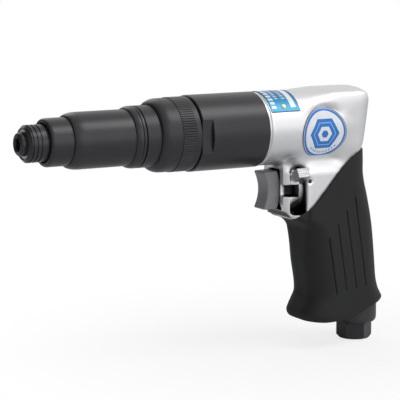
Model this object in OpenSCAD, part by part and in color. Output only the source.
/* [Bit holder] */
// Across flats of the hexagon bit that the spindle takes
bit_af = 6.35; // [5:0.05:8]
// Depth of the bit socket behind its mouth
socket_depth = 24; // [20:0.5:28]
// Radius of the spindle inside the chuck sleeve
spindle_tip_r = 6; // [5.6:0.1:6.6]
// Length of the domed lip at the spindle's mouth
spindle_lip = 1.7; // [1:0.1:2.4]
// Outer radius of the quick-change sleeve
sleeve_r = 9.45; // [9:0.05:9.9]
// Length of the quick-change sleeve
sleeve_len = 20; // [18:0.5:21]
// Sleeve's front face behind the socket mouth
sleeve_setback = 3; // [2:0.1:4]
// How far the sleeve is pulled forward to free a bit
sleeve_travel = 3.5; // [3.2:0.1:4]
// Radius of the ball that holds the bit
lock_ball_r = 1.7; // [1.5:0.05:1.8]
// Length of the pocket for the sleeve's spring
sleeve_pocket = 8; // [7.5:0.1:9]
// Thickness of the snap rings on the spindle
snap_ring_t = 0.8; // [0.6:0.1:1.2]

/* [Nose casing] */
// Nose casing's front face behind the socket mouth
nose_setback = 13.7; // [12:0.1:16]
// Radius of the slim front tube
nose_r = 12.25; // [12:0.05:13]
// Length of the slim front tube
nose_len = 12.1; // [10:0.1:14]
// Length of each rounded shoulder behind the slim tube
nose_shoulder = 6.2; // [4:0.1:7]
// Radius of the middle tube
mid_r = 14.5; // [14.2:0.1:15.5]
// Length of the middle tube
mid_len = 27; // [25:0.5:30]
// Length of the flare that meets the stop ring
mid_flare = 3.5; // [2:0.1:5]
// Radius at the stop ring and the collar's slim end
ring_r = 16; // [15.6:0.1:16.8]
// Thickness of the stop ring
stop_ring_t = 2.1; // [1.5:0.1:3]
// Length of the bronze spindle bush
bush_len = 15.5; // [12:0.5:17]
// Outer radius of the bronze spindle bush
bush_r = 11; // [10.6:0.1:11.4]

/* [Adjusting collar] */
// Length of the collar's slim end
collar_slim = 7.6; // [6:0.1:9]
// Length of the collar's rounded cone
collar_cone = 5.3; // [4:0.1:6]
// Radius of the collar's smooth band
collar_r = 19.1; // [18.6:0.1:19.4]
// Length of the collar's smooth band
collar_band = 5.6; // [4:0.1:8]
// Length of the fine straight knurl
knurl_len = 7.9; // [6:0.1:10]
// Radius over the knurl
knurl_r = 19.4; // [19.1:0.05:19.7]
// Number of knurl grooves
knurl_count = 90; // [60:2:120]
// Length of the plain rim behind the knurl
collar_rim = 3; // [2:0.1:4]
// Travel of the adjusting nut
adjust_travel = 5; // [3:0.1:5.5]

/* [Clutch case] */
// Step from the housing's barrel up to the clutch and gear case
case_step = 0.4; // [0.2:0.1:1.2]
// Length of the clutch and gear case
case_len = 40; // [38:0.5:44]
// Depth of the two wrench flats at the case's front
wrench_depth = 2; // [1:0.25:3]
// Length of the wrench flats
wrench_len = 6; // [4:0.5:8]
// Radius of the case's neck inside the adjusting collar
neck_r = 14; // [13.8:0.1:14.4]
// Bore radius of the neck
neck_bore_r = 11; // [10.8:0.1:11.4]
// Radius of the clutch plates
plate_r = 12.5; // [12:0.1:13]
// Radius of the clutch balls
clutch_ball_r = 2; // [1.8:0.1:2.2]
// Number of clutch balls
clutch_ball_count = 5; // [3:1:6]
// Forward travel of the driven plate when the clutch slips
clutch_travel = 1.8; // [1.2:0.1:1.9]
// Wire radius of the clutch spring
spring_wire_r = 0.9; // [0.7:0.05:1]

/* [Gear train] */
// Wall of the case round the ring gear
case_wall = 1.6; // [1.4:0.1:2]
// Metal of the ring gear outside its tooth roots
ring_gear_wall = 2.195; // [1.8:0.005:2.6]
// Teeth on the rotor's pinion
sun_teeth = 10; // [10:1:10]
// Teeth on each planet gear
planet_teeth = 17; // [17:1:17]
// Face width of the planet gears
gear_face = 9; // [7:0.5:9.5]
// Radius of a planet pin
planet_pin_r = 1.5; // [1.2:0.1:1.8]

/* [Air motor] */
// Wall of the housing's barrel round the motor
barrel_wall = 3.1; // [2.8:0.1:3.4]
// Length of the motor cylinder
cylinder_len = 34; // [30:0.5:36]
// Mean wall of the motor cylinder
cylinder_wall = 4.3; // [4.1:0.05:4.5]
// Offset of the cylinder's bore from the rotor axis
cylinder_offset = 1.2; // [1:0.05:1.25]
// Gap between the rotor and the cylinder where they lie closest
rotor_gap = 0.3; // [0.2:0.05:0.8]
// Rotor shaft radius
shaft_r = 4; // [3.6:0.1:4.2]
// Number of vanes
vane_count = 5; // [4:1:6]
// Vane thickness
vane_t = 1.5; // [1:0.1:1.8]
// Step from the rotor's radius in to its bearings' outer radius
bearing_step = 1.2; // [0.5:0.1:1.6]
// Width of the rotor bearings
bearing_w = 6; // [5:0.5:6]

/* [Pistol housing] */
// Radius of the housing's barrel
barrel_r = 19.6; // [19.3:0.1:20]
// Length of the housing's barrel from its front face to its rear
barrel_len = 64.7; // [63:0.1:66]
// Height of the crowned top above the spindle axis
top_h = 20.9; // [20.4:0.1:21.4]
// Where the squared top begins behind the housing's front face
shoulder_setback = 40.9; // [38:0.1:44]
// Half width of the squared rear end
rear_half_w = 18.2; // [17.6:0.1:19]
// Corner radius of the squared rear end
rear_corner_r = 4.3; // [3.5:0.1:5]
// How far the rear face leans forward at its foot
rear_lean = 3.7; // [2:0.1:5]
// Rise of the top's centre line above its edges
top_crown = 1; // [0.6:0.1:1.6]
// Foot of the squared rear end below the axis
rear_foot = 10.2; // [9.5:0.1:10.8]
// Half width of the web under the barrel
web_half_w = 16; // [15.6:0.1:16.8]
// Front of the trigger boss behind the housing's front face
boss_setback = 13; // [12:0.5:15]
// Lowest point of the trigger boss below the axis
boss_drop = 50; // [48:0.5:52]
// Corner radius at the web's rear
boss_corner_r = 5; // [3:0.5:6]
// Edge radius of the trigger boss's front
boss_edge_r = 1; // [0.5:0.1:2]

/* [Handle] */
// Backward slope of the handle in degrees
handle_tilt = 7.5; // [6:0.25:9]
// Half length of the handle's metal core, fore and aft
core_half_l = 20.3; // [19.6:0.1:20.6]
// Half width of the handle's metal core
core_half_w = 15; // [14.5:0.1:15.4]
// Corner radius of the handle's metal core
core_corner_r = 11; // [9:0.5:12]
// Half width of the rubber grip
grip_half_w = 17.3; // [17:0.1:18.5]
// Corner radius of the rubber grip
grip_corner_r = 13; // [12:0.5:14]
// Lowest point of the rubber grip below the axis
grip_drop = 107; // [105:0.5:109]
// Depth of the rubber foot below the metal core
grip_foot = 5.5; // [4:0.5:7]

/* [Air inlet] */
// Inlet axis behind the housing's front face
inlet_setback = 66.8; // [66:0.1:67.5]
// Across flats of the inlet bushing's hexagon
inlet_af = 17; // [16:0.5:19]
// Height of the inlet bushing's hexagon
inlet_hex_h = 8.8; // [7:0.1:11]
// Radius of the tapped hole that takes the hose plug
inlet_bore_r = 5.7; // [5.4:0.05:6]
// Depth of the tapped hole
inlet_bore_depth = 12; // [10:0.5:14]
// Radius of the swivel exhaust collar
deflector_r = 12.3; // [11.5:0.1:12.6]
// Height of the swivel exhaust collar
deflector_h = 9.8; // [8:0.1:10.5]

/* [Trigger and reverse lever] */
// Trigger stem axis below the spindle axis
stem_drop = 33; // [32:0.5:34]
// Trigger width
trigger_w = 10.4; // [9:0.2:12]
// Trigger height
trigger_h = 20.4; // [18:0.2:21]
// Fore and aft thickness of the trigger at its lips
trigger_t = 8.3; // [7:0.1:9]
// Depth of the finger hollow in the trigger's front
trigger_hollow = 2.4; // [1.5:0.1:3]
// Travel of the trigger
trigger_travel = 3.5; // [2.5:0.1:3.6]
// Radius of the trigger stem
stem_r = 2; // [1.6:0.1:2.4]
// Thickness of the reverse lever's disc
lever_t = 3; // [2.5:0.1:3.2]
// Radius of the reverse lever's disc
lever_r = 12.4; // [11:0.1:12.6]
// Radius out to the thumb tab's end
lever_tab_r = 20.5; // [19:0.1:22]
// Half of the lever's swing, in degrees
lever_half_swing = 30; // [25:1:30]

/* [Fits] */
// Radial clearance of a running fit
run_fit = 0.05; // [0.03:0.01:0.08]
// Gap between faces that turn or slide past each other
face_gap = 0.1; // [0.06:0.02:0.2]
// Open gap between moving pieces that must never touch
open_gap = 0.3; // [0.2:0.05:0.4]

/* [Hidden] */
$fn = 96;
// Overrun of a cut past the face it leaves
cut = 1;
// Sizes that follow the housing's barrel and the grip
case_r = barrel_r + case_step;
wrench_af = 2 * (case_r - wrench_depth);
ring_gear_r = case_r - case_wall;
motor_bore_r = barrel_r - barrel_wall;
cylinder_bore_r = motor_bore_r - cylinder_wall;
rotor_r = cylinder_bore_r - cylinder_offset - rotor_gap;
bearing_r = rotor_r - bearing_step;
core_drop = grip_drop - grip_foot;
// Stations along the spindle, as distances behind the socket mouth
st_sleeve_end = sleeve_setback + sleeve_len;
st_nose = nose_setback;
st_nose_mid = nose_setback + nose_len + nose_shoulder;
st_nose_end = st_nose_mid + mid_len + mid_flare;
st_stop = st_nose_end + face_gap;
st_stop_end = st_stop + stop_ring_t;
st_collar = st_stop_end + open_gap;
st_cone = st_collar + collar_slim;
st_band = st_cone + collar_cone;
st_knurl = st_band + collar_band;
st_rim = st_knurl + knurl_len;
st_collar_end = st_rim + collar_rim;
st_case = st_collar_end + 2 * open_gap;
st_case_end = st_case + case_len;
// Thickness of the seal between the case and the housing
seal_t = 1;
st_housing = st_case_end + seal_t;
st_rear = st_housing + barrel_len;

// Turned shapes: places the rotation axis on the spindle axis, pointing to the nose
module along_x() {
    rotate([0, 90, 0]) children();
}

// A tube or, with no bore, a disc between two stations
module band(from, to, outer, bore = 0) {
    translate([-to, 0, 0]) along_x() difference() {
        cylinder(r = outer, h = to - from);
        if (bore > 0) translate([0, 0, -cut]) cylinder(r = bore, h = to - from + 2 * cut);
    }
}

// A disc between two stations with both rims chamfered
rim_edge = 0.5;
module rimmed(from, to, outer) {
    turned([[from, outer - rim_edge], [from + rim_edge, outer],
        [to - rim_edge, outer], [to, outer - rim_edge]]);
}

// A hexagonal bar between two stations, with a corner straight up
module hex_bar(from, to, corner_r) {
    translate([-to, 0, 0]) along_x() cylinder(r = corner_r, h = to - from, $fn = 6);
}

// A turned solid from [station, radius] pairs, closed along the axis
module turned(profile) {
    last = len(profile) - 1;
    along_x() rotate_extrude() polygon(concat(
        [[0, -profile[0][0]]],
        [for (p = profile) [p[1], -p[0]]],
        [[0, -profile[last][0]]]));
}

// Points of a quarter round from one radius out to a larger one
corner_steps = 6;
function round_out(from, to, r_small, r_large) = [for (i = [0:corner_steps])
    [from + (to - from) * (1 - cos(90 * i / corner_steps)),
     r_small + (r_large - r_small) * sin(90 * i / corner_steps)]];

// One coil spring: a tube of round wire swept along a helix on the x axis
wire_sides = 6;
ring_steps = 16;
function coil_points(length, turns, mean_r, wire_r) = [
    for (i = [0:turns * ring_steps])
    let (turn = 360 * i / ring_steps, x = wire_r + (length - 2 * wire_r) * i / (turns * ring_steps))
    for (k = [0:wire_sides - 1])
    let (a = 360 * k / wire_sides, r = mean_r + wire_r * cos(a))
    [x + wire_r * sin(a), r * cos(turn), r * sin(turn)]];
function coil_faces(rings) = concat(
    [[for (k = [0:wire_sides - 1]) k]],
    [for (i = [0:rings - 2], k = [0:wire_sides - 1], half = [0, 1])
        let (a = i * wire_sides + k, b = i * wire_sides + (k + 1) % wire_sides)
        half == 0 ? [a, a + wire_sides, b] : [b, a + wire_sides, b + wire_sides]],
    [[for (k = [wire_sides - 1:-1:0]) (rings - 1) * wire_sides + k]]);
module coil(from, to, turns, mean_r, wire_r) {
    translate([-to, 0, 0]) polyhedron(
        points = coil_points(to - from, turns, mean_r, wire_r),
        faces = coil_faces(turns * ring_steps + 1));
}

// Involute gear outline
pressure_angle = 20;
flank_steps = 4;
function turn_of(a) = tan(a) * 180 / PI - a;
function half_tooth(r, pitch, teeth, thin) =
    let (base = pitch * cos(pressure_angle))
    90 / teeth - thin / pitch * 180 / PI + turn_of(pressure_angle)
    - (r > base ? turn_of(acos(base / r)) : 0);
function gear_outline(teeth, root, tip, thin) =
    let (pitch = tooth_module * teeth / 2)
    [for (k = [0:teeth - 1], side = [-1, 1], i = [0:flank_steps])
        let (r = root + (tip - root) * (side < 0 ? i : flank_steps - i) / flank_steps,
             a = 360 * k / teeth + side * half_tooth(r, pitch, teeth, thin))
        [r * cos(a), r * sin(a)]];

// Spindle, bit socket and quick-change chuck
bit_fit = 0.06;
socket_r = (bit_af / 2 + bit_fit) / cos(30);
mouth_r = socket_r + 0.08 * bit_af;
ball_station = sleeve_setback + sleeve_pocket + 0.3 * sleeve_travel + 0.8 * lock_ball_r;
ring_groove = 0.3;
journal_r = 7;
bush_inset = 0.6;
journal_start = nose_setback + nose_len + bush_inset;
journal_end = journal_start + face_gap + bush_len;
collar_flange_r = 9;
collar_flange_t = 2.9;
flange_end = journal_end + face_gap + collar_flange_t;
land_end = ball_station + 1.06 * lock_ball_r;
snap_start = sleeve_setback + snap_ring_t / 2;
stop_start = st_sleeve_end + face_gap;

// Clutch stack, in stations from the case's front face
driver_gap = 0.3 * clutch_ball_r;
driven_t = 3 * clutch_ball_r;
st_driven_front = st_case + wrench_len / 3;
driver_face = st_driven_front + driven_t + driver_gap;
ball_plane = driver_face - driver_gap / 2;
plate_t = 2.8;
st_hub = driver_face + plate_t;
carrier_bearing_w = 6;
hub_r = 9;
hub_bore_r = 3.5;
st_disc = st_hub + carrier_bearing_w + 2 * face_gap;
disc_t = 5.4;
st_disc_end = st_disc + disc_t;
disc_inset = 4;
disc_r = ring_gear_r - disc_inset;
st_gears = st_disc_end + 2 * open_gap;
st_gears_end = st_gears + gear_face;
carrier_bearing_step = 1.5;
carrier_bearing_r = ring_gear_r - carrier_bearing_step;
hex_shaft_r = spindle_tip_r;
hex_runout = 1;
hex_start = st_driven_front - clutch_travel - hex_runout;
ball_circle_r = plate_r - 2 * clutch_ball_r;

// Adjusting nut, pins and thrust washer
nut_t = 8;
pin_r = 1.5;
nut_r = neck_bore_r - run_fit;
spindle_gap = 0.6;
nut_bore_r = spindle_tip_r + spindle_gap;
nut_lead = 1.7;
st_nut = st_cone - nut_lead;
st_nut_end = st_nut + nut_t;
pin_edge = 0.8;
pin_station = st_nut_end - pin_edge - pin_r;
thrust_ball_r = 0.7;
thrust_count = 16;
washer_t = 1.5;
st_washer = st_nut_end + 2 * thrust_ball_r;
st_washer_end = st_washer + washer_t;
spring_turns = 4;
spring_mean_r = (nut_r + nut_bore_r) / 2;
slot_play = 0.15;
pin_reach = 1.2;
pin_reach_r = neck_r + pin_reach;
pin_pocket_r = pin_reach_r + open_gap;
thread_step = 1.4;
thread_r = neck_r - thread_step;
thread_len = 11.8;

// Gears
root_share = 1.15;
ring_teeth = sun_teeth + 2 * planet_teeth;
tooth_module = (ring_gear_r - ring_gear_wall) / (ring_teeth / 2 + root_share);
sun_pitch_r = tooth_module * sun_teeth / 2;
planet_pitch_r = tooth_module * planet_teeth / 2;
ring_pitch_r = tooth_module * ring_teeth / 2;
gear_centre_r = sun_pitch_r + planet_pitch_r;
planet_count = 3;
tooth_thin = 0.09 * tooth_module;
addendum = 0.7 * tooth_module;
dedendum = root_share * tooth_module;
ring_gear_rim = 2.4;
ring_gear_len = gear_face + 4 * open_gap + ring_gear_rim;
st_ring_gear = st_gears - 2 * open_gap;
st_ring_gear_end = st_ring_gear + ring_gear_len;

// Air motor
plate_wall = 2;
motor_fit = run_fit;
st_bearing = st_housing + plate_wall;
st_cylinder = st_bearing + bearing_w + plate_wall;
st_cylinder_end = st_cylinder + cylinder_len;
st_plate_end = st_cylinder_end + plate_wall + bearing_w;
motor_outer_r = motor_bore_r - motor_fit;
shaft_play = 1;
plate_bore_r = shaft_r + shaft_play;
vane_rest = 1.7;
vane_depth = rotor_r - shaft_r - vane_rest;
locating_pin_r = 1.2;
locating_pin_inset = 2.1;
locating_pin_at = motor_bore_r - locating_pin_inset;
locating_pin_turn = 135;
port_r = 2.2;
port_count = 4;

// Housing, web and handle outlines in the x-z plane
boss_x = -(st_housing + boss_setback);
handle_setback = 45;
handle_x = -(st_housing + handle_setback);
handle_z = -20;
function handle_at(z) = handle_x - (handle_z - z) * tan(handle_tilt);
rear_x = -st_rear;
web_rear_x = rear_x + rear_lean + open_gap;
web_rear_rise = 6;
boss_front_t = 8.2;
channel_front = st_housing + boss_setback + boss_front_t;
channel_w = lever_t + 4 * face_gap;
channel_half_h = lever_r + 2 * open_gap;
valve_r = 9;
st_valve = channel_front + channel_w;
valve_len = 25.4;
st_seat = st_valve + valve_len + face_gap;
seat_t = 2;
st_seat_end = st_seat + seat_t;
throttle_t = 2.4;
throttle_r = 5;
st_throttle_end = st_seat_end + throttle_t;
spring_room = 7.4;
chamber_len = throttle_t + spring_room;
chamber_r = 6.5;
st_chamber_end = st_seat_end + chamber_len;
window_half_h = 3.1;
window_depth = 9;
guide_r = 5;
relief_step = 2.2;
relief_r = lever_r + relief_step;
trigger_bulge = 1.8;
st_pocket_end = st_housing + boss_setback + trigger_bulge + trigger_travel - open_gap;
inlet_x = -(st_housing + inlet_setback);
inlet_thread_r = 7.2;
inlet_thread_len = 10;
exhaust_bore_r = 2.6;
exhaust_offset = 9.8;
exhaust_x = inlet_x + exhaust_offset;

// Moves children onto the trigger stem's axis
module at_stem() {
    translate([0, 0, -stem_drop]) children();
}

// Side outline pushed out equally to both sides of the centre plane
module slab(half_w) {
    rotate([90, 0, 0]) linear_extrude(height = 2 * half_w, center = true) children();
}

// Plan outline with round corners
module rounded_plan(half_l, half_w, corner) {
    hull_l = half_l - corner;
    hull_w = half_w - corner;
    square([2 * half_l, 2 * hull_w], center = true);
    square([2 * hull_l, 2 * half_w], center = true);
    for (sx = [-1, 1], sy = [-1, 1])
        translate([sx * hull_l, sy * hull_w]) circle(r = corner);
}

// The handle's metal core, grown by a margin, leaning back along the handle
module handle_core(margin) {
    top = boss_drop / 2;
    translate([handle_at(-top), 0, -top])
    rotate([0, handle_tilt, 0]) mirror([0, 0, 1])
    linear_extrude(height = (grip_drop + cut - top) / cos(handle_tilt))
        rounded_plan(core_half_l + margin, core_half_w + margin, core_corner_r + margin);
}

// Round front foot of the trigger boss, as shares of the boss's drop
boss_nose_shares = [[0, 0], [0, 0.8], [0.03, 0.88], [0.09, 0.96], [0.18, 1]];
// Web between the barrel and the handle, with the trigger boss in front
module web() {
    difference() {
        intersection() {
            translate([0, 0, -boss_drop]) linear_extrude(height = boss_drop) web_plan(0);
            slab(web_half_w) polygon(concat(
                [for (s = boss_nose_shares) [boss_x - s[0] * boss_drop, -s[1] * boss_drop]],
                [[handle_at(-boss_drop) - core_half_l, -boss_drop],
                 [handle_at(handle_z) - core_half_l, handle_z],
                 [web_rear_x, handle_z + web_rear_rise], [web_rear_x, 0]]));
        }
        web_neck();
    }
}

// Plan of the web: crisp edges at the trigger boss, round corners at the rear
module web_plan(margin) {
    front = boss_x + margin;
    back = web_rear_x - margin;
    middle = (front + back) / 2;
    translate([middle, 0])
        rounded_plan((front - back) / 2, web_half_w + margin, boss_corner_r);
    translate([(front + middle) / 2, 0])
        rounded_plan((front - middle) / 2, web_half_w + margin, boss_edge_r);
}

// Slope on both sides where the web draws in below the barrel and the badge
neck_half_w = 12;
neck_drop = 16.8;
neck_foot = 24;
neck_len = 32;
module web_neck() {
    outer = web_half_w + cut;
    for (side = [-1, 1]) intersection() {
        translate([boss_x, 0, -neck_foot]) linear_extrude(height = neck_foot + cut) polygon([
            [cut, side * neck_half_w], [-neck_len, side * neck_half_w],
            [-neck_len - outer + neck_half_w, side * outer], [cut, side * outer]]);
        translate([boss_x + cut, 0, 0]) rotate([90, 0, -90])
            linear_extrude(height = neck_len + 2 * outer) polygon([
                [-side * neck_half_w, cut], [-side * neck_half_w, -neck_drop],
                [-side * web_half_w, -neck_foot], [-side * outer, -neck_foot], [-side * outer, cut]]);
    }
}

// Barrel that starts round and ends with a squared, slightly crowned top
module barrel() {
    corner_y = rear_half_w - rear_corner_r;
    corner_z = top_h - top_crown - rear_corner_r;
    corner_back = rear_x + rear_corner_r;
    difference() {
        hull() {
            band(plate_start + plate_len + face_gap, plate_start + plate_len + cut, barrel_r);
            for (x = [-st_housing - shoulder_setback, corner_back], sy = [-1, 0, 1])
                translate([x, sy * corner_y, sy == 0 ? corner_z + top_crown : corner_z])
                sphere(r = rear_corner_r, $fn = 32);
            for (sy = [-1, 1])
                translate([corner_back + rear_lean, sy * corner_y, -rear_foot])
                sphere(r = rear_corner_r, $fn = 32);
        }
        badge_seat();
    }
    turned([[st_housing, barrel_r], [badge_back + badge_r + face_gap, barrel_r],
        [-corner_back, rear_half_w]]);
}

module motor_housing() {
    color("silver") difference() {
        union() {
            barrel();
            web();
            intersection() {
                handle_core(0);
                translate([rear_x - barrel_len, -core_half_w, -core_drop])
                    cube([2 * barrel_len, 2 * core_half_w, core_drop]);
            }
        }
        heel_rim(foot_skin, 0);
        translate([-st_plate_end - face_gap, 0, 0]) along_x()
            cylinder(r = motor_bore_r, h = st_plate_end + face_gap);
        at_stem() {
            band(st_pocket_end - cut, channel_front + cut, guide_r);
            band(st_valve - cut, st_seat + face_gap, valve_r + run_fit);
            band(st_seat, st_seat_end, valve_r);
            band(st_seat_end - face_gap, st_chamber_end, chamber_r);
        }
        trigger_pocket();
        lever_channel();
        lever_relief();
        front_window();
        detent_bore(0);
        handle_passages();
    }
}

// Slot across the web in which the reverse lever's disc turns
module lever_channel() {
    translate([-st_valve, -channel_half_h, -stem_drop - channel_half_h])
        cube([channel_w, channel_half_h + web_half_w + cut, 2 * channel_half_h]);
}

// Slot in the boss that the back of the trigger sinks into
module trigger_pocket() {
    play = 2 * open_gap;
    translate([-st_pocket_end, -trigger_w / 2 - play, -stem_drop - trigger_h / 2 - play])
        cube([st_pocket_end + boss_x + cut, trigger_w + 2 * play, trigger_h + 2 * play]);
}

// Round hollow in the web's left side that the thumb tab sweeps through
module lever_relief() {
    flange_t = 3.2;
    front = -boss_x + flange_t;
    difference() {
        translate([-st_valve, 0, -stem_drop - channel_half_h])
            cube([st_valve - front, web_half_w + cut, 2 * channel_half_h]);
        at_stem() band(front - cut, st_valve + cut, relief_r);
    }
}

// Window through the left front edge of the boss
module front_window() {
    translate([-channel_front - cut, web_half_w - window_depth, -stem_drop - window_half_h])
        cube([channel_front + cut + boss_x + cut, window_depth + cut, 2 * window_half_h]);
}

// Small hole behind the lever's slot for the detent
detent_r = 1.1;
detent_rise = 5;
detent_setback = 1.6;
st_detent = st_valve + detent_setback;
module detent_bore(margin) {
    translate([-st_detent, 0, -stem_drop + detent_rise]) rotate([-90, 0, 0])
        cylinder(r = detent_r + margin, h = web_half_w + cut);
}

// Air ways: hose thread and feed up to the throttle, exhaust down to the collar
module handle_passages() {
    translate([inlet_x, 0, -core_drop - cut])
        cylinder(r = inlet_thread_r, h = inlet_thread_len + cut);
    feed_foot = -core_drop + inlet_thread_len - cut;
    feed_top_x = -st_seat_end - chamber_len / 2;
    feed_rise = -stem_drop - feed_foot;
    feed_run = feed_top_x - inlet_x;
    translate([inlet_x, 0, feed_foot]) rotate([0, atan(feed_run / feed_rise), 0])
        cylinder(r = guide_r - 1, h = sqrt(feed_run * feed_run + feed_rise * feed_rise));
    translate([-st_valve - valve_len / 2, 0, -stem_drop + valve_r - cut])
        cylinder(r = exhaust_bore_r, h = stem_drop - valve_r - motor_bore_r + 3 * cut);
    along_exhaust() {
        translate([0, 0, -cut]) cylinder(r = exhaust_bore_r, h = exhaust_len + cut);
        translate([0, 0, muffler_seat]) cylinder(r = muffler_r + run_fit, h = muffler_h);
    }
}

// Exhaust way: from the handle's foot, beside the inlet, up to the reverse valve
muffler_r = 4.2;
muffler_h = 22;
muffler_seat = 16;
exhaust_lean = 17;
exhaust_len = (core_drop - stem_drop - valve_r + cut) / cos(exhaust_lean);
module along_exhaust() {
    translate([exhaust_x, 0, -core_drop]) rotate([0, exhaust_lean, 0]) children();
}

// Grip's outline at each level, as shares of its drop and of its half length
grip_level_shares = [0.11, 0.23, 0.47, 0.7, 0.82, 0.9, 0.945, 1];
grip_back_shares = [0.97, 1, 1, 1, 1, 1.11, 1.1, 0.94];
grip_front_shares = [1, 1, 0.99, 1, 1, 1.14, 1.31, 1.09];
rubber_t = 2.1;
grip_half_l = core_half_l + rubber_t;
grip_foot_round = 3;
module grip_slice(i) {
    z = -grip_drop * grip_level_shares[i];
    front = handle_at(z) + grip_half_l * grip_front_shares[i];
    back = handle_at(z) - grip_half_l * grip_back_shares[i];
    edge = i == len(grip_level_shares) - 1 ? grip_foot_round : 0;
    translate([(front + back) / 2, 0, z])
        linear_extrude(height = face_gap)
        rounded_plan((front - back) / 2, grip_half_w - edge, grip_corner_r - edge, $fn = 32);
}

module rubber_grip() {
    color("#1c1c1d") difference() {
        for (i = [0:len(grip_level_shares) - 2]) hull() {
            grip_slice(i);
            grip_slice(i + 1);
        }
        difference() {
            handle_core(face_gap);
            translate([rear_x - barrel_len, -grip_half_w, -grip_drop - 2 * cut])
                cube([2 * barrel_len, 2 * grip_half_w, grip_drop + 2 * cut - core_drop - face_gap]);
            heel_rim(foot_skin - face_gap, face_gap);
        }
        grip_top_cut();
        translate([inlet_x, 0, -grip_drop - cut])
            cylinder(r = deflector_r + open_gap, h = grip_drop - core_drop + cut);
        heel_room(0);
        web_relief();
        grip_grooves();
    }
}

// Upper edge of the rubber from the boss back to the rear, as shares of the boss's drop
grip_edge_shares = [[-0.4, 1.012], [0, 1.012], [0.064, 0.974], [0.142, 0.916], [0.22, 0.884],
    [0.304, 0.846], [0.416, 0.724], [0.608, 0.508], [0.712, 0.408], [0.814, 0.328],
    [0.884, 0.292], [0.97, 0.262], [1.1, 0.24]];
// Removes everything above the grip's slanting upper edge
module grip_top_cut() {
    edge = [for (s = grip_edge_shares) [boss_x - s[0] * boss_drop, -s[1] * boss_drop]];
    slab(grip_half_w + cut)
        polygon(concat([[edge[0][0], cut]], edge, [[edge[len(edge) - 1][0], cut]]));
}

// Underside at the heel: shares of the collar's radius and of the rubber's foot
heel_shares = [[2.6, 0], [1.46, 0.15], [0.49, 0.5], [-0.41, 1.15], [-1.14, 1.7], [-2.44, 2.3]];
// Rubber left below the metal core's sloping rear edge
foot_skin = 1.2;
// Everything below the underside, which rises towards the heel
module heel_room(lift) {
    edge = [for (s = heel_shares)
        [inlet_x + s[0] * deflector_r, lift - grip_drop + s[1] * grip_foot]];
    slab(grip_half_w + cut) polygon(concat(edge,
        [[edge[len(edge) - 1][0], -grip_drop - 2 * cut], [edge[0][0], -grip_drop - 2 * cut]]));
}

// Part of that room outside the seat of the exhaust collar
module heel_rim(lift, room) {
    difference() {
        heel_room(lift);
        translate([inlet_x, 0, -grip_drop - cut])
            cylinder(r = deflector_r + room, h = grip_drop);
    }
}

// Room in the rubber for the metal web and barrel
module web_relief() {
    intersection() {
        translate([0, 0, -boss_drop - face_gap]) linear_extrude(height = boss_drop)
            web_plan(face_gap);
        slab(web_half_w + cut) polygon([
            [boss_x + cut, cut], [boss_x + cut, -boss_drop - face_gap],
            [handle_at(-boss_drop) - core_half_l, -boss_drop - face_gap],
            [handle_at(handle_z) - core_half_l - face_gap, handle_z],
            [web_rear_x - face_gap, handle_z + web_rear_rise], [web_rear_x - face_gap, cut]]);
    }
}

// Shallow grooves along the grip's sides
groove_count = 4;
groove_pitch = 6.35;
groove_lead = 13;
groove_foot = 16;
groove_first = 31.5;
groove_longer = 6;
groove_lean = 10;
groove_depth = 0.5;
groove_w = 0.8;
module grip_grooves() {
    for (k = [0:groove_count - 1], side = [-1, 1])
        translate([handle_at(-grip_drop) + groove_lead - k * groove_pitch, side * grip_half_w,
            -grip_drop + groove_foot])
        rotate([0, groove_lean, 0])
        translate([-groove_w / 2, -groove_depth, 0])
        cube([groove_w, 2 * groove_depth, groove_first + k * groove_longer]);
}

// Thin plate wrapped over the barrel, with its two drive rivets
plate_thickness = 0.4;
plate_half_angle = 59;
plate_setback = 1.3;
plate_start = st_housing + plate_setback;
plate_len = 17.6;
rivet_lead = 8.2;
rivet_angle = 50;
rivet_r = 1;
module name_plate() {
    color("deepskyblue") difference() {
        translate([-plate_start - plate_len, 0, 0]) along_x()
            rotate([0, 0, 180 - plate_half_angle])
            rotate_extrude(angle = 2 * plate_half_angle) translate([barrel_r, 0])
            square([plate_thickness, plate_len]);
        rivet_pair(rivet_r + run_fit, -cut);
    }
}

module rivet_pair(radius, grow) {
    for (side = [-1, 1])
        rotate([-side * rivet_angle, 0, 0])
        translate([-plate_start - rivet_lead, 0, barrel_r])
        cylinder(r = radius, h = 2 * plate_thickness - grow);
}

module plate_rivets() {
    color("peru") rivet_pair(rivet_r, 0);
}

// Round badge that follows the barrel's side, and its seat in the casting
badge_r = 13.8;
badge_setback = 32.7;
badge_back = st_housing + badge_setback;
badge_turn = -7.5;
module badge_outline(radius) {
    rotate([badge_turn, 0, 0]) translate([-badge_back, 0, 0]) rotate([-90, 0, 0])
        cylinder(r = radius, h = 2 * barrel_r);
}

// Round seat of the badge, flaring outward from the badge's edge
seat_flare = 0.8;
module badge_seat() {
    radius = badge_r + run_fit;
    edge_h = sqrt(barrel_r * barrel_r - radius * radius);
    badge_outline(radius);
    rotate([badge_turn, 0, 0]) translate([-badge_back, edge_h - cut, 0]) rotate([-90, 0, 0])
        cylinder(r1 = radius - cut, r2 = radius + seat_flare * barrel_r, h = barrel_r + cut);
}

module side_badge() {
    color("white") intersection() {
        band(badge_back - badge_r - cut, badge_back + badge_r + cut,
            barrel_r + plate_thickness, barrel_r, $fn = 360);
        badge_outline(badge_r);
    }
}

module case_seal_ring() {
    seal_step = 0.2;
    color("gainsboro") band(st_case_end, st_housing, barrel_r - seal_step, motor_bore_r + run_fit);
}

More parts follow.
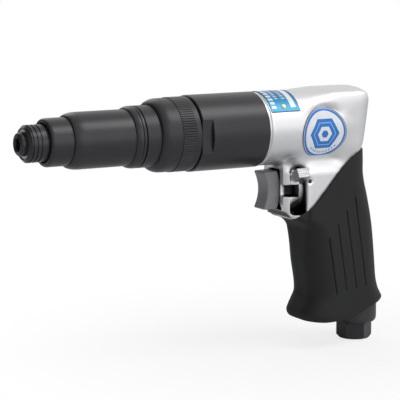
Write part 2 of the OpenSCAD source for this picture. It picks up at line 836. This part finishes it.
// Clutch and gear case with its wrench flats, and the neck under the adjusting collar
module clutch_case() {
    color("#2e2f31") difference() {
        union() {
            rimmed(st_case, st_case_end, case_r);
            band(st_stop_end, st_case + cut, neck_r);
            band(st_stop_end - thread_len - stop_ring_t, st_stop_end + cut, thread_r);
        }
        for (side = [-1, 1])
            translate([-st_case - wrench_len, side * wrench_af / 2 + (side < 0 ? -case_r : 0), -case_r])
            cube([wrench_len + cut, case_r, 2 * case_r]);
        band(st_stop_end - thread_len - stop_ring_t - cut, st_case_end, neck_bore_r);
        band(st_driven_front - clutch_travel - 2 * open_gap, st_case_end, plate_r + open_gap);
        band(st_hub, st_case_end + cut, carrier_bearing_r);
        band(st_ring_gear, st_case_end + cut, ring_gear_r);
        for (side = [0, 180]) rotate([side, 0, 0]) pin_slot();
    }
}

module pin_slot() {
    half = pin_r + slot_play;
    translate([-pin_station - adjust_travel - half, -half, 0])
        cube([adjust_travel + 2 * half, 2 * half, neck_r + cut]);
}

module ring_gear() {
    color("dimgray") translate([-st_ring_gear_end, 0, 0]) along_x()
        linear_extrude(height = ring_gear_len) difference() {
            circle(r = ring_gear_r);
            polygon(gear_outline(ring_teeth, ring_pitch_r - addendum,
                ring_pitch_r + dedendum, -tooth_thin));
        }
}

module nose_casing() {
    lip = 1.8;
    lip_rise = 1.3;
    sleeve_play = 0.8;
    color("#2b2c2e") difference() {
        turned(concat(
            round_out(st_nose, st_nose + lip, nose_r - lip_rise, nose_r),
            [[st_nose + nose_len, nose_r]],
            round_out(st_nose + nose_len, st_nose_mid, nose_r + open_gap, mid_r),
            [[st_nose_mid + mid_len, mid_r]],
            round_out(st_nose_mid + mid_len, st_nose_end, mid_r, ring_r)));
        band(st_nose - cut, journal_start + cut, sleeve_r + sleeve_play);
        band(journal_start, st_nose_end + cut, bush_r);
        band(st_stop_end - thread_len - stop_ring_t - cut, st_nose_end + cut, thread_r + run_fit);
    }
}

module nose_bush() {
    color("darkgoldenrod") band(journal_start + face_gap, journal_end, bush_r, journal_r + run_fit);
}

module stop_ring() {
    color("#2b2c2e") difference() {
        rimmed(st_stop, st_stop_end, ring_r);
        band(st_stop - cut, st_stop_end + cut, thread_r + run_fit);
    }
}

module motor_cylinder() {
    color("slategray") difference() {
        band(st_cylinder, st_cylinder_end, motor_outer_r);
        translate([0, 0, cylinder_offset])
            band(st_cylinder - cut, st_cylinder_end + cut, cylinder_bore_r);
        locating_hole(st_cylinder - cut, st_cylinder_end + cut);
        for (i = [0:port_count - 1])
            translate([-st_cylinder - cylinder_len * (i + 1) / (port_count + 1), 0, -motor_bore_r])
            cylinder(r = port_r, h = motor_bore_r / 2);
    }
}

module locating_hole(from, to) {
    rotate([locating_pin_turn, 0, 0]) translate([0, 0, locating_pin_at])
        band(from, to, locating_pin_r + run_fit);
}

module cylinder_pin() {
    color("silver") rotate([locating_pin_turn, 0, 0]) translate([0, 0, locating_pin_at])
        band(st_cylinder - bearing_w, st_cylinder_end + bearing_w, locating_pin_r);
}

module front_end_plate() {
    color("gray") difference() {
        union() {
            band(st_ring_gear_end + face_gap, st_case_end, ring_gear_r - run_fit);
            band(st_case_end - cut, st_cylinder, motor_outer_r);
        }
        band(st_ring_gear_end, st_bearing + bearing_w, bearing_r);
        band(st_bearing, st_cylinder + cut, plate_bore_r);
        locating_hole(st_cylinder - bearing_w, st_cylinder + cut);
    }
}

module rear_end_plate() {
    color("gray") difference() {
        band(st_cylinder_end, st_plate_end, motor_outer_r);
        band(st_cylinder_end - cut, st_plate_end, plate_bore_r);
        band(st_cylinder_end + plate_wall, st_plate_end + cut, bearing_r);
        locating_hole(st_cylinder_end - cut, st_cylinder_end + bearing_w);
    }
}

module front_rotor_bearing() {
    color("lightsteelblue") band(st_bearing, st_bearing + bearing_w, bearing_r - run_fit / 5,
        shaft_r + run_fit);
}

module rear_rotor_bearing() {
    color("lightsteelblue") band(st_plate_end - bearing_w, st_plate_end, bearing_r - run_fit / 5,
        shaft_r + run_fit);
}

module carrier_bearing() {
    color("lightsteelblue") band(st_hub + face_gap, st_hub + face_gap + carrier_bearing_w,
        carrier_bearing_r - run_fit / 5, hub_r + run_fit);
}

// Hexagon bushing that holds the exhaust collar and takes the hose plug
module inlet_bushing() {
    hex_top = -core_drop - deflector_h - 3 * face_gap;
    corner_r = inlet_af / 2 / cos(30);
    chamfer = 1.4;
    bore_step = 1.2;
    color("#2a2a2c") difference() {
        translate([inlet_x, 0, hex_top - inlet_hex_h]) union() {
            intersection() {
                rotate([0, 0, 30]) cylinder(r = corner_r, h = inlet_hex_h, $fn = 6);
                union() {
                    cylinder(r1 = corner_r - chamfer, r2 = corner_r, h = chamfer);
                    translate([0, 0, chamfer]) cylinder(r = corner_r, h = inlet_hex_h - chamfer);
                }
            }
            cylinder(r = inlet_thread_r - run_fit,
                h = inlet_hex_h + deflector_h + inlet_thread_len - face_gap);
        }
        translate([inlet_x, 0, hex_top - inlet_hex_h - cut])
            cylinder(r = inlet_bore_r, h = inlet_bore_depth + cut);
        translate([inlet_x, 0, hex_top - inlet_hex_h])
            cylinder(r = inlet_bore_r - bore_step, h = inlet_hex_h + deflector_h + inlet_thread_len + cut);
        translate([inlet_x, 0, -core_drop + inlet_thread_len - 2 * screen_t])
            cylinder(r = screen_r + run_fit, h = 3 * screen_t);
    }
}
screen_r = 5.4;
screen_t = 1.2;

module inlet_screen() {
    hole_r = 0.5;
    hole_pitch = 1.8;
    color("goldenrod") translate([inlet_x, 0, -core_drop + inlet_thread_len - 2 * screen_t])
        difference() {
            cylinder(r = screen_r, h = screen_t);
            for (ring = [1, 2], k = [0:6 * ring - 1])
                rotate([0, 0, 60 * k / ring]) translate([hole_pitch * ring, 0, -cut])
                cylinder(r = hole_r, h = screen_t + 2 * cut);
        }
}

module exhaust_muffler() {
    color("tan") along_exhaust() translate([0, 0, muffler_seat + face_gap])
        cylinder(r = muffler_r, h = muffler_h - 2 * face_gap);
}

// Collar that turns about the inlet and throws the exhaust to one side
module exhaust_deflector() {
    wall = 1.4;
    round_r = 3;
    hub_wall = 0.8;
    slot_w = 2.4;
    slot_h = 3.2;
    top = -core_drop - face_gap;
    color("#232325") translate([inlet_x, 0, top - deflector_h]) difference() {
        rotate_extrude() polygon([
            [0, 0], [deflector_r - round_r, 0],
            for (i = [1:5]) [deflector_r - round_r + round_r * sin(18 * i), round_r * (1 - cos(18 * i))],
            [deflector_r, deflector_h], [0, deflector_h]]);
        translate([0, 0, -cut]) cylinder(r = inlet_thread_r + run_fit, h = deflector_h + 2 * cut);
        translate([0, 0, wall]) difference() {
            cylinder(r = deflector_r - wall, h = deflector_h);
            cylinder(r = inlet_thread_r + run_fit + hub_wall, h = deflector_h);
        }
        for (k = [-1:1])
            rotate([0, 0, 180 + 28 * k])
            translate([inlet_thread_r + 2 * hub_wall, -slot_w / 2, round_r])
            cube([deflector_r, slot_w, slot_h]);
    }
}

module valve_seat() {
    color("goldenrod") at_stem() band(st_seat, st_seat_end, valve_r, stem_r + shaft_play);
}

seal_w = 1;
seal_back = 1.2;
seal_r = 3.4;
module stem_guide() {
    color("goldenrod") at_stem() difference() {
        band(st_pocket_end, channel_front - face_gap, guide_r, stem_r + run_fit);
        stem_seal_room(face_gap);
    }
}

// Ring of the stem's seal, grown by a margin along the stem
module stem_seal_room(margin) {
    band(channel_front - seal_back - seal_w - margin, channel_front - seal_back + margin, seal_r);
}

module throttle_spring() {
    wire = 0.4;
    turns = 4;
    color("silver") at_stem()
        coil(st_throttle_end, st_chamber_end, turns, throttle_r - 3 * wire, wire);
}

screw_len = 3;
screw_sink = 0.4;
st_screw = web_half_w - screw_sink - screw_len;
module detent_screw() {
    color("#333333") detent_rod(st_screw, web_half_w - screw_sink, detent_r);
}

module detent_rod(from, to, radius) {
    translate([-st_detent, from, -stem_drop + detent_rise]) rotate([-90, 0, 0])
        cylinder(r = radius, h = to - from);
}

dimple_t = 1.3;
ball_contact = sqrt(valve_r * valve_r - detent_rise * detent_rise) + dimple_t;
module detent_spring() {
    turns = 5;
    wire = 0.22;
    coil_r = detent_r - wire - run_fit;
    start = ball_contact + detent_r;
    color("silver") translate([-st_detent, 0, -stem_drop + detent_rise]) rotate([0, 0, 90])
        translate([st_screw, 0, 0]) coil(0, st_screw - start, turns, coil_r - wire, wire);
}

module detent_ball() {
    color("silver") translate([-st_detent, ball_contact, -stem_drop + detent_rise])
        sphere(r = detent_r - run_fit, $fn = 48);
}

// Trigger with a hollow front face, pinned to the stem
trigger_stand_off = 0.8;
trigger_front = st_housing + boss_setback - trigger_stand_off - trigger_t;
module trigger_button() {
    half_h = trigger_h / 2;
    back = trigger_front + trigger_t;
    hollow_r = (half_h * half_h + trigger_hollow * trigger_hollow) / (2 * trigger_hollow);
    bulge_r = (half_h * half_h + trigger_bulge * trigger_bulge) / (2 * trigger_bulge);
    lip = 1.5;
    color("#6f7072") at_stem() difference() {
        union() {
            difference() {
                intersection() {
                    slab(trigger_w / 2) translate([-back, -half_h]) square([trigger_t, trigger_h]);
                    translate([-(trigger_front + back) / 2, 0, -half_h])
                        linear_extrude(height = trigger_h)
                        rounded_plan(trigger_t / 2, trigger_w / 2, lip);
                }
                slab(trigger_w) translate([-trigger_front - trigger_hollow + hollow_r, 0])
                    circle(r = hollow_r);
            }
            slab(trigger_w / 2) intersection() {
                translate([-back - trigger_bulge + bulge_r, 0]) circle(r = bulge_r);
                translate([-back - trigger_bulge, -half_h]) square([trigger_bulge + lip, trigger_h]);
            }
        }
        band(trigger_front + trigger_hollow + trigger_wall, back + 4 * lip, stem_r + run_fit / 5);
        rotate([90, 0, 0]) translate([-trigger_pin_at, 0, -trigger_w])
            cylinder(r = trigger_pin_r, h = 2 * trigger_w);
    }
}
trigger_wall = 1.6;
trigger_pin_at = trigger_front + trigger_t - trigger_wall;
trigger_pin_r = 0.8;

module trigger_stem() {
    color("silver") at_stem() difference() {
        band(trigger_front + trigger_hollow + trigger_wall + face_gap, st_throttle_end - 3 * face_gap, stem_r);
        rotate([90, 0, 0]) translate([-trigger_pin_at, 0, -trigger_w])
            cylinder(r = trigger_pin_r, h = 2 * trigger_w);
    }
}

module trigger_pin() {
    color("gray") at_stem() rotate([90, 0, 0])
        translate([-trigger_pin_at, 0, -trigger_w / 2 + 2 * face_gap])
        cylinder(r = trigger_pin_r - run_fit / 5, h = trigger_w - 4 * face_gap);
}

module throttle_valve() {
    color("#222222") at_stem() difference() {
        band(st_seat_end + face_gap, st_throttle_end, throttle_r);
        band(st_seat_end - cut, st_throttle_end - 2 * face_gap, stem_r);
    }
}

module stem_seal() {
    color("#222222") at_stem() difference() {
        stem_seal_room(0);
        band(st_pocket_end, channel_front, stem_r + run_fit);
    }
}

// Disc on the stem axis with a ribbed thumb tab that stands out on the left
tab_half_w = 2.75;
tab_len = 7.4;
tab_root = 2;
module reverse_lever() {
    color("gainsboro") at_stem() rotate([lever_half_swing, 0, 0]) {
        difference() {
            translate([-(st_valve - 2 * face_gap), 0, 0]) along_x() cylinder(r = lever_r, h = lever_t);
            band(channel_front, st_valve, stem_r + shaft_play);
            key_bore();
        }
        translate([-(st_valve - 2 * face_gap), lever_r - tab_root, -tab_half_w])
            cube([lever_t, lever_tab_r - lever_r + tab_root, 2 * tab_half_w]);
        translate([-(st_valve - 2 * face_gap), relief_r + 2 * open_gap, -tab_half_w])
            cube([tab_len, lever_tab_r - relief_r - 2 * open_gap, 2 * tab_half_w]);
    }
}

key_r = 1.2;
key_len = 4;
module key_bore() {
    translate([0, -lever_r / 2, 0]) band(channel_front, st_valve + key_len, key_r);
}

// Ported bush that turns with the lever and swaps the motor's feed
module reverse_valve() {
    port = 2.6;
    web_t = 5;
    color("darkgoldenrod") at_stem() rotate([lever_half_swing, 0, 0]) difference() {
        band(st_valve, st_valve + valve_len, valve_r, stem_r + 2 * open_gap);
        band(st_valve + web_t, st_valve + valve_len + cut, guide_r);
        key_bore();
        for (turn = [-40, 40], share = [0.35, 0.75])
            rotate([turn, 0, 0]) translate([-st_valve - valve_len * share, 0, 0])
            cylinder(r = port, h = valve_r + cut);
        translate([-st_valve - valve_len * exhaust_share, 0, -valve_r - cut])
            cylinder(r = port, h = valve_r);
    }
}
exhaust_share = 0.6;

module lever_key() {
    color("silver") at_stem() rotate([lever_half_swing, 0, 0])
        translate([0, -lever_r / 2, 0])
        band(channel_front + 3 * face_gap, st_valve + key_len, key_r - run_fit / 5);
}

// Slotted rotor with the pinion cut on its front end
module rotor() {
    pinion_start = st_gears - face_gap;
    pinion_end = st_gears_end + 2 * open_gap;
    color("silver") {
        difference() {
            band(st_cylinder + face_gap, st_cylinder_end - face_gap, rotor_r);
            for (k = [0:vane_count - 1])
                rotate([360 * k / vane_count, 0, 0])
                translate([-st_cylinder_end - cut, -vane_t / 2 - run_fit, rotor_r - vane_depth])
                cube([cylinder_len + 2 * cut, vane_t + 2 * run_fit, vane_depth + cut]);
        }
        band(pinion_end, st_plate_end - face_gap, shaft_r);
        translate([-pinion_end - face_gap, 0, 0]) along_x()
            linear_extrude(height = pinion_end - pinion_start + face_gap)
            polygon(gear_outline(sun_teeth, sun_pitch_r - dedendum, sun_pitch_r + addendum, tooth_thin));
    }
}

module rotor_vanes() {
    color("saddlebrown") for (k = [0:vane_count - 1])
        rotate([360 * k / vane_count, 0, 0])
        translate([-st_cylinder_end + 2 * face_gap, -vane_t / 2, rotor_r - vane_depth + face_gap])
        cube([cylinder_len - 4 * face_gap, vane_t, vane_depth - face_gap]);
}

// Carrier of the planets, whose front face is the clutch's driving plate
module planet_carrier() {
    color("slategray") difference() {
        union() {
            band(driver_face, st_hub, plate_r);
            band(st_hub - face_gap, st_disc + cut, hub_r);
            band(st_disc, st_disc_end, disc_r);
        }
        band(driver_face - cut, st_disc - cut, hub_bore_r + run_fit);
        clutch_ball_set(clutch_ball_r + run_fit / 2);
        pin_set(planet_pin_r, cut);
    }
}

module clutch_ball_set(radius) {
    for (k = [0:clutch_ball_count - 1])
        rotate([360 * k / clutch_ball_count, 0, 0])
        translate([-ball_plane, 0, ball_circle_r]) sphere(r = radius, $fn = 48);
}

module clutch_balls() {
    color("silver") clutch_ball_set(clutch_ball_r);
}

module pin_set(radius, extra) {
    for (k = [0:planet_count - 1])
        rotate([360 * k / planet_count, 0, 0]) translate([0, 0, -gear_centre_r])
        band(st_disc_end - disc_t * 0.7, st_disc_end + extra, radius);
}

module planet_pins() {
    color("silver") for (k = [0:planet_count - 1])
        rotate([360 * k / planet_count, 0, 0]) translate([0, 0, -gear_centre_r])
        band(st_disc_end - disc_t * 0.7 + face_gap, st_gears_end + open_gap, planet_pin_r - run_fit / 5);
}

// One planet gear, turned so that its teeth stand between the pinion's
module planet_gear(k) {
    place = 360 * k / planet_count;
    turn = place + 180 + 180 / planet_teeth + place * sun_teeth / planet_teeth;
    color("lightgray") translate([-st_gears_end, 0, 0]) along_x()
        translate([gear_centre_r * cos(place), gear_centre_r * sin(place), 0])
        rotate([0, 0, turn]) difference() {
            linear_extrude(height = gear_face) polygon(gear_outline(planet_teeth,
                planet_pitch_r - dedendum, planet_pitch_r + addendum, tooth_thin));
            translate([0, 0, -cut]) cylinder(r = planet_pin_r + run_fit, h = gear_face + 2 * cut);
        }
}

module planet_gear_1() planet_gear(0);
module planet_gear_2() planet_gear(1);
module planet_gear_3() planet_gear(2);

module spindle() {
    color("#3a3b3d") difference() {
        union() {
            turned(concat(
                [for (p = round_out(0, spindle_lip, mouth_r, spindle_tip_r)) p],
                [[journal_start + cut, spindle_tip_r]]));
            band(journal_start, journal_end + cut, journal_r);
            band(journal_end + face_gap, flange_end, collar_flange_r);
            band(flange_end - cut, hex_start, spindle_tip_r);
            hex_bar(hex_start - cut, driver_face - face_gap, hex_shaft_r);
            band(driver_face - cut, st_disc - cut - open_gap, hub_bore_r);
        }
        translate([-socket_depth, 0, 0]) along_x() cylinder(r = socket_r, h = socket_depth + cut, $fn = 6);
        translate([-(mouth_r - socket_r * cos(30)), 0, 0]) along_x()
            cylinder(r1 = socket_r * cos(30), r2 = mouth_r, h = mouth_r - socket_r * cos(30));
        translate([-ball_station, 0, 0]) cylinder(r = lock_ball_r + run_fit, h = spindle_tip_r + cut);
        ring_cut(snap_start);
        ring_cut(stop_start);
    }
}

// Groove for a snap ring
module ring_cut(from) {
    band(from, from + snap_ring_t, spindle_tip_r + cut, spindle_tip_r - ring_groove);
}

module lock_ball() {
    color("silver") translate([-ball_station, 0, spindle_tip_r - lock_ball_r])
        sphere(r = lock_ball_r, $fn = 48);
}

// Snap ring in the sleeve's mouth that the chuck spring pushes against
module sleeve_snap_ring() {
    color("silver") band(snap_start + face_gap / 2, snap_start + snap_ring_t - face_gap / 2,
        pocket_r - open_gap, spindle_tip_r - ring_groove + run_fit);
}
sleeve_wall = 1.75;
pocket_r = sleeve_r - sleeve_wall;

module sleeve_stop_ring() {
    color("silver") band(stop_start + face_gap / 2, stop_start + snap_ring_t - face_gap / 2,
        sleeve_r - snap_ring_t, spindle_tip_r - ring_groove + run_fit);
}

module chuck_sleeve() {
    chamfer = 1.5;
    groove_pitch = 2.25;
    groove_cut = 0.45;
    groove_len = 1;
    color("#303133") difference() {
        turned([[sleeve_setback, sleeve_r - chamfer], [sleeve_setback + chamfer, sleeve_r],
            [st_sleeve_end - chamfer / 2, sleeve_r], [st_sleeve_end, sleeve_r - chamfer / 2]]);
        band(sleeve_setback - cut, st_sleeve_end + cut, spindle_tip_r + run_fit);
        band(sleeve_setback - cut, sleeve_setback + sleeve_pocket, pocket_r);
        band(land_end, st_sleeve_end + cut, spindle_tip_r + 0.7 * lock_ball_r);
        for (i = [0:2])
            band(sleeve_setback + chamfer + groove_pitch * i, sleeve_setback + chamfer
                + groove_pitch * i + groove_len, sleeve_r + cut, sleeve_r - groove_cut);
    }
}

module chuck_spring() {
    turns = 4;
    wire = 0.35;
    color("silver") coil(snap_start + snap_ring_t, sleeve_setback + sleeve_pocket, turns,
        (pocket_r + spindle_tip_r) / 2, wire);
}

// Clutch plate that the spring holds against the balls
module driven_plate() {
    color("slategray") difference() {
        band(st_driven_front, st_driven_front + driven_t, plate_r);
        hex_bar(st_driven_front - cut, st_driven_front + driven_t + cut, hex_shaft_r + run_fit);
        clutch_ball_set(clutch_ball_r + run_fit);
    }
}

module clutch_spring() {
    color("silver") coil(st_washer_end, st_driven_front, spring_turns, spring_mean_r, spring_wire_r);
}

module spring_washer() {
    color("silver") band(st_washer, st_washer_end, nut_r - run_fit, nut_bore_r);
}

module thrust_balls() {
    color("silver") for (k = [0:thrust_count - 1])
        rotate([360 * k / thrust_count, 0, 0])
        translate([-st_nut_end - thrust_ball_r, 0, spring_mean_r])
        sphere(r = thrust_ball_r - run_fit / 5, $fn = 24);
}

// Ring that squeezes the clutch spring as the collar turns
module adjusting_nut() {
    color("gray") difference() {
        band(st_nut, st_nut_end, nut_r, nut_bore_r);
        translate([-pin_station, 0, -2 * nut_r]) cylinder(r = pin_r, h = 4 * nut_r);
    }
}

module adjusting_pins() {
    color("silver") for (side = [0, 180]) rotate([side, 0, 0])
        translate([-pin_station, 0, nut_bore_r + run_fit])
        cylinder(r = pin_r - run_fit / 5, h = pin_reach_r - nut_bore_r - run_fit);
}

// Knurled collar: turning it drives the pins along
module adjusting_collar() {
    color("#323335") difference() {
        turned(concat(
            [[st_collar, ring_r]],
            [[st_cone, ring_r]],
            round_out(st_cone, st_band, ring_r, collar_r),
            [[st_knurl, collar_r], [st_knurl, knurl_r], [st_collar_end - rim_edge, knurl_r],
             [st_collar_end, knurl_r - rim_edge]]));
        band(st_collar - cut, st_collar_end + cut, neck_r + run_fit);
        band(pin_station - pin_r - open_gap, pin_station + pin_r + adjust_travel + open_gap,
            pin_pocket_r);
        for (k = [0:knurl_count - 1])
            rotate([360 * k / knurl_count, 0, 0])
            translate([-st_rim, 0, knurl_r]) rotate([45, 0, 0])
            translate([0, -knurl_side / 2, -knurl_side / 2])
            cube([knurl_len + cut, knurl_side, knurl_side]);
    }
}
knurl_depth_share = 0.9;
knurl_side = knurl_depth_share * (knurl_r - collar_r) * sqrt(2);

motor_housing();
rubber_grip();
name_plate();
plate_rivets();
side_badge();
case_seal_ring();
clutch_case();
ring_gear();
nose_casing();
nose_bush();
stop_ring();
motor_cylinder();
front_end_plate();
rear_end_plate();
front_rotor_bearing();
rear_rotor_bearing();
cylinder_pin();
carrier_bearing();
inlet_bushing();
inlet_screen();
exhaust_muffler();
exhaust_deflector();
valve_seat();
stem_guide();
throttle_spring();
detent_screw();
detent_spring();
detent_ball();
trigger_button();
trigger_stem();
trigger_pin();
throttle_valve();
stem_seal();
reverse_lever();
reverse_valve();
lever_key();
rotor();
rotor_vanes();
planet_carrier();
planet_pins();
clutch_balls();
planet_gear_1();
planet_gear_2();
planet_gear_3();
spindle();
lock_ball();
sleeve_snap_ring();
sleeve_stop_ring();
driven_plate();
clutch_spring();
spring_washer();
thrust_balls();
adjusting_nut();
adjusting_pins();
adjusting_collar();
chuck_sleeve();
chuck_spring();
